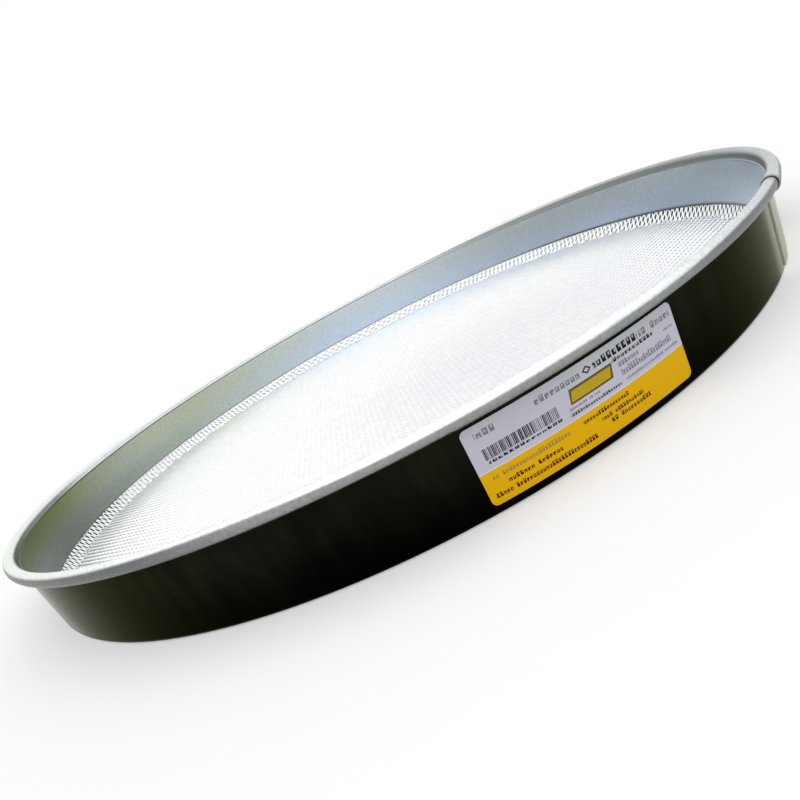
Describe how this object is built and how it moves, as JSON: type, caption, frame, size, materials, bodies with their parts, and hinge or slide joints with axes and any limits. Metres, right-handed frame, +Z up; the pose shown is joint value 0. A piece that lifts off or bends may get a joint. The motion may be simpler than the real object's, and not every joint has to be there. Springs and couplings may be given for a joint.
{
  "type": "round sieve",
  "caption": "Round sieve with a rolled-rim steel hoop, a dished expanded-metal screen held by an inner band, and a label on the wall.",
  "frame": {"origin": "middle of the foot, on the plane that the sieve rests on", "axes": "+Z up along the hoop's axis; the label is on the -Y side of the wall"},
  "size_m": [0.56, 0.56, 0.049],
  "materials": {
    "hoop_steel": "satin zinc-coated sheet",
    "wire_steel": "bright drawn wire",
    "band_steel": "satin zinc-coated sheet",
    "mesh_steel": "bright zinc-coated expanded metal",
    "label_film": "printed two-tone film, satin"
  },
  "bodies": {
    "root": {"outer_band": "hoop_steel", "rim_wire": "wire_steel", "inner_band": "band_steel", "mesh_screen": "mesh_steel", "label": "label_film"}
  },
  "joints": []
}
